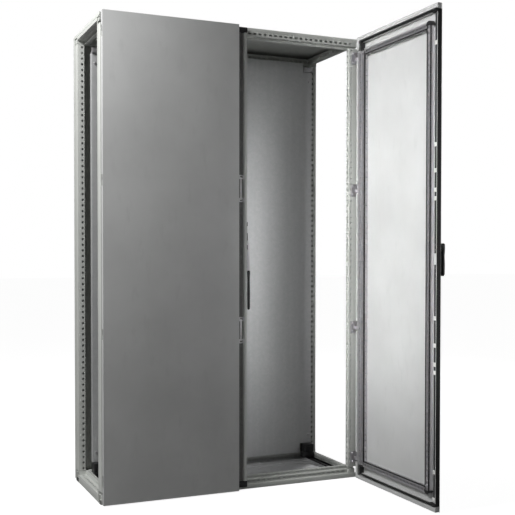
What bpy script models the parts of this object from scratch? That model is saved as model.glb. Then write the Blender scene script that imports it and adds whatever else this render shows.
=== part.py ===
"""Floor-standing two-door switchboard cabinet on an open, bayable frame.

Metres, +Z up. The origin lies on the floor under the middle of the frame. +X points to the
right of a person facing the doors and +Y to the rear. The left door is shut and the right
door stands open at a right angle. Each door is modelled shut and then turned about its pins.
"""

import math

import bmesh
import bpy
from mathutils import Matrix, Vector

# ---- driving dimensions ---------------------------------------------------------------
WIDTH = 1.2
HEIGHT = 2.0
DEPTH = 0.5
GAP = 0.0003  # between pieces that touch
SHEET = 0.002  # wall of every folded or rolled sheet part

DOOR_DEPTH = 0.020  # height of a door's folded edge
DOOR_JOINT = 0.0015  # half the slit between the two doors, and each door's side clearance
DOOR_END = 0.005  # door to floor, and door to the roof's top
DOOR_OPEN = math.radians(90)
DOOR_LIP = 0.018  # width of the inward lips of a door's folded edges
EDGE_SEAL = 0.004  # from the right door's free edge to its folded edge
FRAME_FACE = 0.222  # front and rear faces of the posts, from the middle
RAIL_SETBACK = 0.010  # front rails stand behind the posts' front faces

POST_SIZE = 0.050
POST_SIDE = WIDTH / 2 - POST_SIZE  # inner faces of the posts, from the middle
POST_SIDE_ARM = 0.033  # width of the post arm along the side of the cabinet
POST_FRONT_ARM = 0.020  # depth of the post arm along the front of the cabinet
TOP_RAIL = 0.032
BASE_RAIL = 0.052
RAIL_STEP = 0.017  # height of the groove in each side rail
ROOF_FOLD = 0.018

PIN_X = 0.5935  # hinge pins, from the middle of the cabinet
PIN_Y = -0.2435
PIN_RADIUS = 0.0025
PIN_BORE = 0.0030
HINGE_HEIGHTS = (0.095, 0.690, 1.310, 1.905)
HINGE_NOTCH = (0.016, 0.030)  # below and above each hinge height
HINGE_NOTCH_EDGE = 0.575  # inner edge of a hinge's notch in the door, from the middle
BRACKET_EDGE = 0.562  # inner edge of a hinge bracket's plate, from the middle
BRACKET_HALF = 0.028  # half the height of that plate
BRACKET_SHEET = 0.003

HANDLE_HEIGHT = 1.045  # axis of the turning handle
BORE_CUT = 0.060  # length of the tools that cut the bores round its spindle
HANDLE_BASE = (0.926, 1.077)  # lower and upper end of its base plate
HANDLE_LEVER = (0.932, 1.062)  # lower and upper end of its lever
LEFT_LOCK = (0.930, 1.070)
RIGHT_LOCK = (0.940, 1.080)
ROD_TRAVEL = 0.018
ROD_GAP = ROD_TRAVEL + 0.004  # between a drawn-in rod and the middle of its lock
ROD_SHEET = 0.003
LEVER_PIVOT = (0.056, 0.945)  # x and z of the inner lever's axis
LEVER_END = 0.780  # height of the inner lever's free end

FRONT = -DEPTH / 2
DOOR_LOW = DOOR_END
DOOR_HIGH = HEIGHT - DOOR_END
DOOR_INNER = FRONT + DOOR_DEPTH
GASKET_TOP = DOOR_INNER + 0.0035
GASKET_END = (0.022, 0.034)  # rims of a gasket's upper and lower legs, from the door's ends
GASKET_HINGE = (0.034, 0.045)  # rims of its leg at the hinges, from the hinge edge
GASKET_FREE = (0.020, 0.033)  # rims of the left door's leg at the free edge
TUBE_SIDE = (0.046, 0.070)  # rims of a door's upright tubes, from its side edges
TUBE_END = (0.064, 0.089)  # rims of its cross tubes, from its ends
DOOR_SKIN = FRONT + SHEET  # inner side of a door's front sheet
DOOR_EDGE = WIDTH / 2 - DOOR_JOINT
RAIL_TOP = HEIGHT - ROOF_FOLD - GAP
POST_LOW = BASE_RAIL + GAP
POST_HIGH = RAIL_TOP - TOP_RAIL - GAP

# ---- colours --------------------------------------------------------------------------
GREY_PAINT = ((0.60, 0.61, 0.58), 0.45, 0.0)
GALVANISED = ((0.48, 0.49, 0.50), 0.38, 0.9)
BLACK_PLASTIC = ((0.02, 0.02, 0.02), 0.45, 0.0)
BLACK_RUBBER = ((0.015, 0.015, 0.016), 0.8, 0.0)
ZINC_STEEL = ((0.55, 0.55, 0.56), 0.35, 1.0)


def clear_scene():
    for old in list(bpy.data.objects):
        bpy.data.objects.remove(old, do_unlink=True)


def new_collection(name):
    group = bpy.data.collections.new(name)
    bpy.context.scene.collection.children.link(group)
    return group


def paint(thing, finish):
    """Gives an object a material of its own."""
    colour, roughness, metallic = finish
    material = bpy.data.materials.new(thing.name)
    material.use_nodes = True
    shader = material.node_tree.nodes["Principled BSDF"]
    shader.inputs["Base Color"].default_value = (*colour, 1.0)
    shader.inputs["Roughness"].default_value = roughness
    shader.inputs["Metallic"].default_value = metallic
    thing.data.materials.append(material)


def shut_place(empty):
    """World position of a pivot while every pivot above it is unturned."""
    place = Vector((0.0, 0.0, 0.0))
    while empty is not None:
        place += empty.location
        empty = empty.parent
    return place


def pivot(name, place, parent=None):
    """An empty on a joint's axis; the pieces that move with the joint are its children."""
    empty = bpy.data.objects.new(name, None)
    CABINET.objects.link(empty)
    empty.parent = parent
    empty.location = Vector(place) - shut_place(parent)
    return empty


def mesh_object(name, bm, parent, group, finish=None):
    """Makes an object of a bmesh drawn in world coordinates, with its origin on its pivot."""
    bmesh.ops.translate(bm, verts=bm.verts, vec=-shut_place(parent))
    bmesh.ops.recalc_face_normals(bm, faces=bm.faces)
    mesh = bpy.data.meshes.new(name)
    bm.to_mesh(mesh)
    bm.free()
    thing = bpy.data.objects.new(name, mesh)
    group.objects.link(thing)
    thing.parent = parent
    if finish:
        paint(thing, finish)
    return thing


def box_mesh(low, high):
    """A box between two corners, given in any order."""
    bm = bmesh.new()
    low, high = Vector(low), Vector(high)
    size = [abs(b - a) for a, b in zip(low, high)]
    place = Matrix.Translation((low + high) / 2) @ Matrix.Diagonal((*size, 1.0))
    bmesh.ops.create_cube(bm, size=1.0, matrix=place)
    return bm


def box(name, low, high, finish, parent=None):
    return mesh_object(name, box_mesh(low, high), parent, CABINET, finish)


def rod_mesh(middle, radius, length, axis, sides):
    """A round bar about a middle point, along axis X, Y or Z."""
    bm = bmesh.new()
    turns = {"X": (math.pi / 2, "Y"), "Y": (math.pi / 2, "X"), "Z": (0.0, "Z")}
    angle, about = turns[axis]
    place = Matrix.Translation(middle) @ Matrix.Rotation(angle, 4, about)
    bmesh.ops.create_cone(
        bm, cap_ends=True, segments=sides, radius1=radius, radius2=radius, depth=length, matrix=place
    )
    return bm


def combine(thing, tool_mesh, operation):
    """Cuts a tool shape out of an object, or joins it on."""
    tool = mesh_object(thing.name + "_tool", tool_mesh, thing.parent, CUTTERS)
    tool.hide_render = True
    tool.display_type = "WIRE"
    modifier = thing.modifiers.new(operation.title(), "BOOLEAN")
    modifier.operation = operation
    modifier.object = tool


def cut(thing, tool_mesh):
    combine(thing, tool_mesh, "DIFFERENCE")


def join(thing, tool_mesh):
    combine(thing, tool_mesh, "UNION")


def hollow_section(name, outline, start, along, finish):
    """A rolled tube: a closed outline of 3-D points, drawn along a vector and open at its ends."""
    bm = bmesh.new()
    ring = [bm.verts.new(Vector(start) + Vector(point)) for point in outline]
    edges = [bm.edges.new((ring[i - 1], ring[i])) for i in range(len(ring))]
    drawn = bmesh.ops.extrude_edge_only(bm, edges=edges)
    moved = [part for part in drawn["geom"] if isinstance(part, bmesh.types.BMVert)]
    bmesh.ops.translate(bm, verts=moved, vec=along)
    thing = mesh_object(name, bm, None, CABINET, finish)
    wall = thing.modifiers.new("Wall", "SOLIDIFY")
    wall.thickness = SHEET
    wall.offset = -1.0
    wall.use_even_offset = True
    return thing


def bevel(thing, width, segments=2):
    edge = thing.modifiers.new("Bevel", "BEVEL")
    edge.width = width
    edge.segments = segments


def tray(name, low, high, lips, open_side, finish, parent=None):
    """A folded sheet tray: an outer box hollowed by one sheet's thickness, with a front panel,
    four folded edges and inward lips. lips are the lip widths at low X, high X, low Z and
    high Z, and open_side is +1 where the mouth is at high Y and -1 where it is at low Y."""
    thing = box(name, low, high, finish, parent)
    inner_low = [low[i] + SHEET for i in range(3)]
    inner_high = [high[i] - SHEET for i in range(3)]
    cut(thing, box_mesh(inner_low, inner_high))
    mouth = (high[1] - SHEET, high[1]) if open_side > 0 else (low[1] + SHEET, low[1])
    overshoot = open_side * SHEET / 2
    cut(
        thing,
        box_mesh(
            (low[0] + lips[0], mouth[0] - overshoot, low[2] + lips[2]),
            (high[0] - lips[1], mouth[1] + overshoot, high[2] - lips[3]),
        ),
    )
    return thing


def ring(name, low, high, outer, inner, finish, parent):
    """A picture frame between two corners; outer and inner are the insets of its two rims at
    low X, high X, low Z and high Z."""
    thing = box(
        name,
        (low[0] + outer[0], low[1], low[2] + outer[2]),
        (high[0] - outer[1], high[1], high[2] - outer[3]),
        finish,
        parent,
    )
    cut(
        thing,
        box_mesh(
            (low[0] + inner[0], low[1] - SHEET, low[2] + inner[2]),
            (high[0] - inner[1], high[1] + SHEET, high[2] - inner[3]),
        ),
    )
    return thing


# ---- frame ----------------------------------------------------------------------------
def make_posts():
    """Four hollow corner posts of stepped section, joining the base and the roof rails."""
    for front_word, front in (("front", -1), ("rear", 1)):
        for side_word, side in (("left", -1), ("right", 1)):
            corners = (
                (0, 0),
                (POST_SIZE, 0),
                (POST_SIZE, POST_FRONT_ARM),
                (POST_SIDE_ARM, POST_FRONT_ARM),
                (POST_SIDE_ARM, POST_SIZE),
                (0, POST_SIZE),
            )
            outline = [(-side * u, -front * v, 0) for u, v in corners]
            hollow_section(
                f"post_{front_word}_{side_word}",
                outline,
                (side * WIDTH / 2, front * FRAME_FACE, POST_LOW),
                (0, 0, POST_HIGH - POST_LOW),
                GREY_PAINT,
            )


def make_cross_rails():
    """Front and rear rails of the roof and the base, over the full width."""
    inner = FRAME_FACE - POST_SIZE
    spans = {
        "front": (-FRAME_FACE + RAIL_SETBACK, -inner),
        "rear": (inner, FRAME_FACE),
    }
    heights = {"top": (RAIL_TOP - TOP_RAIL, RAIL_TOP), "base": (0, BASE_RAIL)}
    for level, (low, high) in heights.items():
        for word, (near, far) in spans.items():
            outline = ((0, near, low), (0, far, low), (0, far, high), (0, near, high))
            hollow_section(
                f"{level}_rail_{word}", outline, (-WIDTH / 2, 0, 0), (WIDTH, 0, 0), GREY_PAINT
            )


def make_side_rails():
    """Side rails of the roof and the base, with a groove along the outer face. The base rails
    have a ledge that carries the gland plates."""
    length = 2 * (FRAME_FACE - POST_SIZE - GAP)
    roof_step = ((0, 0), (POST_SIZE, 0), (POST_SIZE, TOP_RAIL), (POST_SIDE_ARM, TOP_RAIL))
    roof_step += ((POST_SIDE_ARM, TOP_RAIL - RAIL_STEP), (0, TOP_RAIL - RAIL_STEP))
    ledge = POST_SIZE + 0.015
    ledge_top = ROOF_FOLD
    base_step = ((0, 0), (ledge, 0), (ledge, ledge_top), (POST_SIZE, ledge_top))
    base_step += ((POST_SIZE, BASE_RAIL), (POST_SIDE_ARM, BASE_RAIL))
    base_step += ((POST_SIDE_ARM, BASE_RAIL - RAIL_STEP), (0, BASE_RAIL - RAIL_STEP))
    for word, side in (("left", -1), ("right", 1)):
        start = (side * WIDTH / 2, -length / 2, 0)
        roof_outline = [(-side * u, 0, RAIL_TOP - w) for u, w in roof_step]
        hollow_section(f"top_rail_{word}", roof_outline, start, (0, length, 0), GREY_PAINT)
        base_outline = [(-side * u, 0, w) for u, w in base_step]
        hollow_section(f"base_rail_{word}", base_outline, start, (0, length, 0), GREY_PAINT)


def make_floor():
    """A cross bar flush with the underside of the base, and three gland plates on top of it."""
    reach = FRAME_FACE - POST_SIZE - GAP
    half_bar = 0.020
    outline = ((-half_bar, 0, 0), (half_bar, 0, 0), (half_bar, 0, ROOF_FOLD), (-half_bar, 0, ROOF_FOLD))
    hollow_section("base_cross_bar", outline, (0, -reach, 0), (0, 2 * reach, 0), GREY_PAINT)
    half_width = WIDTH / 2 - POST_SIZE - GAP
    low = ROOF_FOLD + GAP
    bounds = (-reach, -0.060, 0.060, reach)
    for i, word in enumerate(("front", "middle", "rear")):
        box(
            f"gland_plate_{word}",
            (-half_width, bounds[i] + GAP, low),
            (half_width, bounds[i + 1] - GAP, low + SHEET),
            GALVANISED,
        )


def make_roof():
    """Roof plate with its edges folded down onto the roof rails."""
    low = (-WIDTH / 2, -FRAME_FACE + RAIL_SETBACK, RAIL_TOP + GAP)
    high = (WIDTH / 2, FRAME_FACE, HEIGHT)
    plate = box("roof_plate", low, high, GREY_PAINT)
    cut(
        plate,
        box_mesh(
            (low[0] + SHEET, low[1] + SHEET, low[2] - SHEET),
            (high[0] - SHEET, high[1] - SHEET, high[2] - SHEET),
        ),
    )


def make_rear_panel():
    """Rear panel, folded like a door, on the rear faces of the posts."""
    lip = 0.016
    tray(
        "rear_panel",
        (-DOOR_EDGE, FRAME_FACE + 0.007, DOOR_LOW),
        (DOOR_EDGE, DEPTH / 2, DOOR_HIGH),
        (lip, lip, lip, lip),
        -1,
        GREY_PAINT,
    )


def make_mounting_plate():
    """Galvanised plate folded back at its edges, notched at its corners for slides and holders."""
    half = POST_SIDE - GAP
    face = 0.122
    fold = 0.020
    slide_inner = 0.485
    slide_front = 0.085
    slide_top = 0.098
    slide_rail = (0.515, -0.135)  # inner side and front end
    holder_inner = 0.500
    holder_front = 0.098
    holder_low = 1.905
    holder_high = 1.930
    plate = box("mounting_plate", (-half, face, POST_LOW), (half, face + fold, POST_HIGH), GALVANISED)
    cut(
        plate,
        box_mesh(
            (-half + SHEET, face + SHEET, POST_LOW + SHEET),
            (half - SHEET, face + fold + SHEET, POST_HIGH - SHEET),
        ),
    )
    rail_low = ROOF_FOLD + 2 * GAP + SHEET
    rail_high = rail_low + 0.012
    for word, side in (("left", -1), ("right", 1)):
        cut(
            plate,
            box_mesh(
                (side * (slide_inner - GAP), face - SHEET, 0.0),
                (side * WIDTH / 2, face + fold + SHEET, slide_top + GAP),
            ),
        )
        cut(
            plate,
            box_mesh(
                (side * (holder_inner - GAP), face - SHEET, holder_low - GAP),
                (side * WIDTH / 2, face + fold + SHEET, HEIGHT),
            ),
        )
        box(
            f"plate_slide_rail_{word}",
            (side * slide_rail[0], slide_rail[1], rail_low),
            (side * half, face + fold, rail_high),
            BLACK_PLASTIC,
        )
        slide = box(
            f"plate_slide_{word}",
            (side * slide_inner, slide_front, rail_high + GAP),
            (side * half, face + fold, slide_top),
            BLACK_PLASTIC,
        )
        bevel(slide, 0.003)
        box(
            f"plate_holder_{word}",
            (side * holder_inner, holder_front, holder_low),
            (side * half, face + fold, holder_high),
            ZINC_STEEL,
        )


# ---- doors ----------------------------------------------------------------------------
class Door:
    """One door leaf and its pieces, drawn shut. side is -1 for the left door, +1 for the right.
    overhang is how far the front sheet reaches past the folded free edge."""

    def __init__(self, word, side, overhang=0.0):
        self.word = word
        self.side = side
        self.overhang = overhang
        self.pivot = pivot(f"{word}_door_pivot", (side * PIN_X, PIN_Y, 0))
        self.low = (min(side * DOOR_JOINT, side * DOOR_EDGE), FRONT, DOOR_LOW)
        self.high = (max(side * DOOR_JOINT, side * DOOR_EDGE), DOOR_INNER, DOOR_HIGH)

    def insets(self, free, hinge, ends):
        """Insets at low X, high X, low Z and high Z from those at the free and hinge edges."""
        across = (free, hinge) if self.side > 0 else (hinge, free)
        return (*across, ends, ends)

    def make_skin(self, free_lip):
        """Folded door sheet, notched at each hinge so that the frame's arm can pass."""
        skin = tray(
            f"{self.word}_door_skin",
            (self.low[0] + self.overhang, *self.low[1:]),
            self.high,
            self.insets(free_lip, DOOR_LIP, DOOR_LIP),
            1,
            GREY_PAINT,
            self.pivot,
        )
        if self.overhang:
            reach = (self.low[0] + self.overhang + SHEET, DOOR_SKIN, DOOR_HIGH)
            join(skin, box_mesh(self.low, reach))
        for height in HINGE_HEIGHTS:
            cut(
                skin,
                box_mesh(
                    (self.side * HINGE_NOTCH_EDGE, DOOR_SKIN + GAP, height - HINGE_NOTCH[0]),
                    (self.side * (WIDTH / 2), DOOR_INNER + SHEET, height + HINGE_NOTCH[1]),
                ),
            )
        return skin

    def make_frame_and_gasket(self, free_outer, free_inner):
        """Tubular stiffening frame inside the sheet, and the gasket between it and the edges.
        free_outer and free_inner are the gasket's insets at the free edge."""
        frame_low = (self.low[0], DOOR_SKIN + GAP, self.low[2])
        frame_high = (self.high[0], DOOR_INNER + 0.002, self.high[2])
        ring(
            f"{self.word}_door_tube_frame",
            frame_low,
            frame_high,
            self.insets(TUBE_SIDE[0], TUBE_SIDE[0], TUBE_END[0]),
            self.insets(TUBE_SIDE[1], TUBE_SIDE[1], TUBE_END[1]),
            GREY_PAINT,
            self.pivot,
        )
        gasket_high = (self.high[0], GASKET_TOP, self.high[2])
        return ring(
            f"{self.word}_door_gasket",
            frame_low,
            gasket_high,
            self.insets(free_outer, GASKET_HINGE[0], GASKET_END[0]),
            self.insets(free_inner, GASKET_HINGE[1], GASKET_END[1]),
            BLACK_RUBBER,
            self.pivot,
        )

    def make_hinges(self):
        """Four hinges: a pin on an arm of the frame bracket, and a knuckle on the door."""
        arm = (PIN_X - 0.008, PIN_X - 0.001)
        post_face = -FRAME_FACE - GAP
        for number, height in enumerate(HINGE_HEIGHTS, 1):
            bracket = box(
                f"{self.word}_hinge_bracket_{number}",
                (self.side * BRACKET_EDGE, post_face - BRACKET_SHEET, height - BRACKET_HALF),
                (self.side * arm[1], post_face, height + BRACKET_HALF),
                ZINC_STEEL,
            )
            join(
                bracket,
                box_mesh(
                    (self.side * arm[0], PIN_Y, height - 0.012),
                    (self.side * arm[1], post_face - 0.001, height + 0.006),
                ),
            )
            pin_low = height - 0.011
            pin_high = height + 0.026
            middle = (self.side * PIN_X, PIN_Y, (pin_low + pin_high) / 2)
            join(bracket, rod_mesh(middle, PIN_RADIUS, pin_high - pin_low, "Z", 16))
            knuckle = box(
                f"{self.word}_hinge_knuckle_{number}",
                (self.side * (PIN_X - 0.010), DOOR_SKIN + 2 * GAP, height + 0.007),
                (self.side * (PIN_X + 0.0045), DOOR_INNER - SHEET - GAP, height + 0.025),
                ZINC_STEEL,
                self.pivot,
            )
            cut(knuckle, rod_mesh(middle, PIN_BORE, 3 * (pin_high - pin_low), "Z", 16))


def make_rods(door, place_x, near, gap_low, gap_high, ends):
    """Upper and lower lock rods of a door, each on a pivot of its own to slide up and down."""
    far = near + ROD_SHEET
    upper = pivot(f"{door.word}_upper_rod_slide", (place_x, near, gap_high), door.pivot)
    lower = pivot(f"{door.word}_lower_rod_slide", (place_x, near, gap_low), door.pivot)
    half = 0.006
    box(
        f"{door.word}_door_upper_rod",
        (place_x - half, near, gap_high),
        (place_x + half, far, ends[1]),
        ZINC_STEEL,
        upper,
    )
    box(
        f"{door.word}_door_lower_rod",
        (place_x - half, near, ends[0]),
        (place_x + half, far, gap_low),
        ZINC_STEEL,
        lower,
    )


def make_left_door():
    """Shut door with a strip that the right door overlaps, and the inner lever on that strip."""
    door = Door("left", -1)
    door.make_skin(free_lip=0.016)
    door.make_frame_and_gasket(*GASKET_FREE)
    door.make_hinges()
    strip_low = DOOR_INNER + 0.0045
    strip_high = strip_low + 0.013
    strip_edge = 0.045
    cap_bottom = (0.012, 0.039)
    cap_top = (1.969, 1.992)
    strip = box(
        "centre_strip",
        (-0.036, strip_low, cap_bottom[1] + GAP),
        (strip_edge, strip_high, cap_top[0] - GAP),
        GREY_PAINT,
        door.pivot,
    )
    groove = 0.009
    cut(
        strip,
        box_mesh(
            (0.004, strip_low - SHEET, 0),
            (strip_edge - 0.014, strip_low + groove, HEIGHT),
        ),
    )
    for word, (low, high) in (("bottom", cap_bottom), ("top", cap_top)):
        cap = box(
            f"centre_strip_cap_{word}",
            (-0.002, strip_low, low),
            (strip_edge + 0.003, strip_high - GAP, high),
            BLACK_PLASTIC,
            door.pivot,
        )
        bevel(cap, 0.002)

    case_front = strip_high + GAP
    pivot_x, pivot_z = LEVER_PIVOT
    box(
        "left_lock_case",
        (0.004, case_front, LEFT_LOCK[0]),
        (pivot_x + 0.010, case_front + 0.016, LEFT_LOCK[1]),
        ZINC_STEEL,
        door.pivot,
    )
    turn = pivot("inner_lever_pivot", (pivot_x, strip_high, pivot_z), door.pivot)
    lever = box(
        "inner_lever",
        (pivot_x - 0.007, strip_high - 0.010, LEVER_END),
        (pivot_x + 0.007, strip_high - GAP, pivot_z + 0.006),
        BLACK_PLASTIC,
        turn,
    )
    bevel(lever, 0.002)
    make_rods(
        door,
        0.020,
        case_front,
        LEFT_LOCK[0] - ROD_GAP,
        LEFT_LOCK[1] + ROD_GAP,
        (POST_LOW + 0.004, POST_HIGH - 0.004),
    )


def make_handle(door, middle_x):
    """Turning lever handle: a base plate, a hub on a square spindle and a folding lever."""
    base_low = FRONT - GAP - 0.008
    hub_low = base_low - GAP - 0.012
    spindle_bore = 0.0070
    spindle_end = DOOR_SKIN + 0.006
    spindle_middle = (middle_x, (base_low + spindle_end) / 2, HANDLE_HEIGHT)
    base = box(
        "handle_base",
        (middle_x - 0.017, base_low, HANDLE_BASE[0]),
        (middle_x + 0.017, FRONT - GAP, HANDLE_BASE[1]),
        BLACK_PLASTIC,
        door.pivot,
    )
    bevel(base, 0.002)
    cut(base, rod_mesh(spindle_middle, spindle_bore, BORE_CUT, "Y", 16))

    turn = pivot("handle_turn_pivot", (middle_x, hub_low, HANDLE_HEIGHT), door.pivot)
    hub = mesh_object(
        "handle_hub",
        rod_mesh((middle_x, hub_low + 0.006, HANDLE_HEIGHT), 0.0155, 0.012, "Y", 24),
        turn,
        CABINET,
        BLACK_PLASTIC,
    )
    spindle_half = 0.004
    join(
        hub,
        box_mesh(
            (middle_x - spindle_half, hub_low + 0.006, HANDLE_HEIGHT - spindle_half),
            (middle_x + spindle_half, spindle_end, HANDLE_HEIGHT + spindle_half),
        ),
    )

    lever_high = hub_low - GAP
    lift = pivot("handle_lift_pivot", (middle_x, lever_high, HANDLE_LEVER[1]), turn)
    lever = box(
        "handle_lever",
        (middle_x - 0.012, lever_high - 0.012, HANDLE_LEVER[0]),
        (middle_x + 0.012, lever_high, HANDLE_LEVER[1]),
        BLACK_PLASTIC,
        lift,
    )
    bevel(lever, 0.002)
    return spindle_middle, spindle_bore


def make_edge_seal(door, skin):
    """Right door's gasket. Its leg at the free edge lies outside the folded edge, on the front
    sheet, and its upper and lower legs pass the folded edge through notches."""
    free = DOOR_JOINT + EDGE_SEAL
    seal_top = DOOR_SKIN + 0.012
    gasket = door.make_frame_and_gasket(GAP, EDGE_SEAL - GAP)
    legs = []
    for inset in GASKET_END:
        legs += [DOOR_LOW + inset, DOOR_HIGH - inset]
    legs.sort()
    for low, high in (legs[:2], legs[2:]):
        cut(
            skin,
            box_mesh(
                (free - SHEET, DOOR_SKIN, low - GAP), (free + 2 * SHEET, GASKET_TOP, high + GAP)
            ),
        )
    cut(gasket, box_mesh((0, seal_top, legs[1]), (free, GASKET_TOP + SHEET, legs[2])))


def make_right_door():
    """Open door with the outside handle, its lock case and its rods."""
    door = Door("right", 1, overhang=EDGE_SEAL)
    skin = door.make_skin(free_lip=SHEET)
    make_edge_seal(door, skin)
    door.make_hinges()
    handle_x = DOOR_JOINT + 0.028
    rod_x = DOOR_JOINT + 0.0125
    spindle_middle, spindle_bore = make_handle(door, handle_x)
    cut(skin, rod_mesh(spindle_middle, spindle_bore, BORE_CUT, "Y", 16))
    rod_low = DOOR_INNER - 0.0035
    case = box(
        "right_lock_case",
        (handle_x - 0.009, DOOR_SKIN + GAP, RIGHT_LOCK[0]),
        (handle_x + 0.0165, rod_low - GAP, RIGHT_LOCK[1]),
        ZINC_STEEL,
        door.pivot,
    )
    cut(case, rod_mesh(spindle_middle, spindle_bore, BORE_CUT, "Y", 16))
    make_rods(
        door,
        rod_x,
        rod_low,
        HEIGHT / 2 - ROD_GAP,
        HEIGHT / 2 + ROD_GAP,
        (0.045, 1.955),
    )
    door.pivot.rotation_euler.z = DOOR_OPEN


clear_scene()
CABINET = new_collection("switchboard_cabinet")
CUTTERS = new_collection("cutters")
make_posts()
make_cross_rails()
make_side_rails()
make_floor()
make_roof()
make_rear_panel()
make_mounting_plate()
make_left_door()
make_right_door()
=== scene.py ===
"""Looks of a two-door switchboard cabinet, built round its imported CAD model.

Lengths are in metres, or in mm where a rolled section's outline and holes are given. Door pieces
are drawn shut, and the right door's are then turned open."""

import math

import bmesh
import bpy
from mathutils import Matrix, Vector


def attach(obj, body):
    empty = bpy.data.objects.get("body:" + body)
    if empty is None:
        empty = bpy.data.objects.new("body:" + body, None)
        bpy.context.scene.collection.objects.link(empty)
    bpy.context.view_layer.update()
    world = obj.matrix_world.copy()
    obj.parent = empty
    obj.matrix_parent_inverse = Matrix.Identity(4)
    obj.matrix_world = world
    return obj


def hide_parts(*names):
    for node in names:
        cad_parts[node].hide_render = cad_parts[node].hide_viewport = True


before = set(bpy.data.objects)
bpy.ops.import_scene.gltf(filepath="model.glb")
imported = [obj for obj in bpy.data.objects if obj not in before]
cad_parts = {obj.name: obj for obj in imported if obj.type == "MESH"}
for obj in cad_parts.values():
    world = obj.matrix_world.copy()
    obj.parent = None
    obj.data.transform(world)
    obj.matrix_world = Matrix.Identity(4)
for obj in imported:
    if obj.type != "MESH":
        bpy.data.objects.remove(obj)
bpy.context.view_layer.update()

MM = 0.001
# frame: outer faces of the posts and the front rails, and heights
HALF_WIDTH = 0.600
POST_FACE = 0.222
RAIL_FACE = 0.212
POST_LOW = 0.0523
POST_HIGH = 1.9494
POST_LENGTH = (0, 0, POST_HIGH - POST_LOW)
RAIL_TOP = 1.9817
SIDE_RAIL = 0.1717
SHEET = 0.002
PITCH = 0.025
HOLE_END = 0.011
PLATE_FACE = 0.122
# doors, drawn shut: faces of the sheet and its folds, edges, tubes, centre strip, handle's axis
FRONT = -0.250
DOOR_SKIN = -0.248
DOOR_INNER = -0.230
DOOR_LOW = 0.005
DOOR_HIGH = 1.995
DOOR_FREE = 0.0015
DOOR_EDGE = 0.5985
TUBE_FACE = DOOR_INNER + 0.002
TUBE_LOW = DOOR_LOW + 0.064
TUBE_HIGH = DOOR_HIGH - 0.064
FREE_TUBE = (DOOR_FREE + 0.046, DOOR_FREE + 0.070)
HINGE_TUBE = (DOOR_EDGE - 0.046, DOOR_EDGE - 0.070)
STRIP = -0.2255
HANDLE_X = 0.0295
HANDLE_Z = 1.045
PIN = Vector((0.5935, -0.2435, 0.0))
HINGE_HEIGHTS = (0.095, 0.690, 1.310, 1.905)
OPENED = Matrix.Translation(PIN) @ Matrix.Rotation(math.pi / 2, 4, "Z") @ Matrix.Translation(-PIN)
RIGHT_BODIES = ("right_door", "handle_hub", "handle_lever", "right_upper_rod", "right_lower_rod")


# ---- materials ------------------------------------------------------------------------
class Finish:
    """A procedural material, built node by node."""

    def __init__(self, name):
        self.material = bpy.data.materials.new(name)
        self.material.use_nodes = True
        self.tree = self.material.node_tree
        self.shader = self.tree.nodes["Principled BSDF"]
        self.place = self.node("ShaderNodeTexCoord").outputs["Object"]

    def node(self, kind, **settings):
        made = self.tree.nodes.new(kind)
        for key, value in settings.items():
            setattr(made, key, value)
        return made

    def link(self, source, target):
        self.tree.links.new(source, target)

    def noise(self, scale, detail=3.0, stretch=(1, 1, 1)):
        """Noise of about one feature per 1/scale metres, drawn out along an axis by stretch."""
        space = self.node("ShaderNodeMapping")
        space.inputs["Scale"].default_value = stretch
        self.link(self.place, space.inputs["Vector"])
        noise = self.node("ShaderNodeTexNoise")
        noise.inputs["Scale"].default_value = scale
        noise.inputs["Detail"].default_value = detail
        self.link(space.outputs["Vector"], noise.inputs["Vector"])
        return noise.outputs["Fac"]

    def spread(self, value, low, high, start=0.0, end=1.0):
        """Maps a value from start…end to low…high."""
        mapped = self.node("ShaderNodeMapRange")
        for key, number in (("From Min", start), ("From Max", end), ("To Min", low), ("To Max", high)):
            mapped.inputs[key].default_value = number
        self.link(value, mapped.inputs["Value"])
        return mapped.outputs["Result"]

    def blend(self, factor, first, second, kind="MIX"):
        """Mixes two colours; each is an RGB triple or a socket."""
        mix = self.node("ShaderNodeMix", data_type="RGBA", blend_type=kind)
        for key, colour in ((6, first), (7, second)):
            if isinstance(colour, tuple):
                mix.inputs[key].default_value = (*colour, 1.0)
            else:
                self.link(colour, mix.inputs[key])
        if isinstance(factor, float):
            mix.inputs[0].default_value = factor
        else:
            self.link(factor, mix.inputs[0])
        return mix.outputs[2]

    def bump(self, height, distance, strength=1.0):
        bump = self.node("ShaderNodeBump")
        bump.inputs["Distance"].default_value = distance
        bump.inputs["Strength"].default_value = strength
        self.link(height, bump.inputs["Height"])
        self.link(bump.outputs["Normal"], self.shader.inputs["Normal"])

    def colour(self, socket):
        self.link(socket, self.shader.inputs["Base Color"])

    def roughness(self, socket):
        self.link(socket, self.shader.inputs["Roughness"])

    def fixed(self, **values):
        for key, value in values.items():
            self.shader.inputs[key.replace("_", " ")].default_value = value


def powder_coat(name, tone, shine):
    """Textured light-grey powder coat: fine orange peel, faint clouds, specks of dust drawn out upwards."""
    finish = Finish(name)
    peel = finish.noise(620.0, 2.0)
    clouds = finish.noise(3.2, 4.0)
    marks = finish.noise(34.0, 6.0, (1, 1, 0.35))
    dark = tuple(0.93 * part for part in tone)
    light = tuple(min(1.0, 1.04 * part) for part in tone)
    base = finish.blend(finish.spread(clouds, 0.0, 1.0, 0.35, 0.65), dark, light)
    dust = tuple(0.88 * part for part in tone)
    speck = finish.spread(marks, 0.0, 0.35, 0.58, 0.72)
    finish.colour(finish.blend(speck, base, dust))
    finish.roughness(finish.spread(marks, shine - 0.05, shine + 0.09, 0.3, 0.7))
    finish.bump(peel, 0.00012, 0.35)
    finish.fixed(Metallic=0.0, Specular_IOR_Level=0.5)
    return finish.material


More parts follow.
